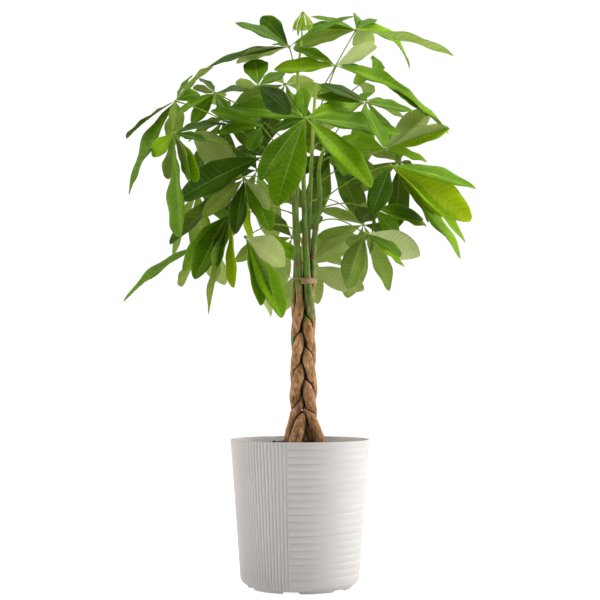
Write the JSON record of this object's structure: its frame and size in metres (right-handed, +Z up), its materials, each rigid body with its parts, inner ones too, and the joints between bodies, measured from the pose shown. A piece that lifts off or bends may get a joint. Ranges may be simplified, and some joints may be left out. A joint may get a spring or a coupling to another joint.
{
  "type": "potted money tree",
  "caption": "Indoor money tree with braided stems, a raffia tie and fans of long leaflets, standing in a plain round plastic planter with fine ribs.",
  "frame": {"origin": "middle of the planter's foot, on the surface that it stands on, which is also under the middle of the crown to within 7 mm", "axes": "+Z up along the stems, +X to the viewer's right and -Y towards the viewer of the planter's front seam"},
  "size_m": [0.6538, 0.4824, 1.0764],
  "materials": {
    "pot_plastic": "matte",
    "soil": "matte",
    "bark": "matte",
    "raffia": "matte",
    "leaf": "satin"
  },
  "bodies": {
    "root": {"pot": "pot_plastic", "soil": "soil", "stem_1": "bark", "stem_2": "bark", "stem_3": "bark", "stem_4": "bark", "stem_5": "bark", "tie": "raffia", "frond_01": "leaf", "frond_02": "leaf", "frond_03": "leaf", "frond_04": "leaf", "frond_05": "leaf", "frond_06": "leaf", "frond_07": "leaf", "frond_08": "leaf", "frond_09": "leaf", "frond_10": "leaf", "frond_11": "leaf", "frond_12": "leaf", "frond_13": "leaf", "frond_14": "leaf", "frond_15": "leaf", "frond_16": "leaf", "frond_17": "leaf", "frond_18": "leaf", "frond_19": "leaf", "frond_20": "leaf", "frond_21": "leaf", "frond_22": "leaf", "frond_23": "leaf", "frond_24": "leaf", "frond_25": "leaf", "frond_26": "leaf", "frond_27": "leaf", "frond_28": "leaf", "frond_29": "leaf", "frond_30": "leaf", "frond_31": "leaf", "young_leaf": "leaf"}
  },
  "joints": []
}
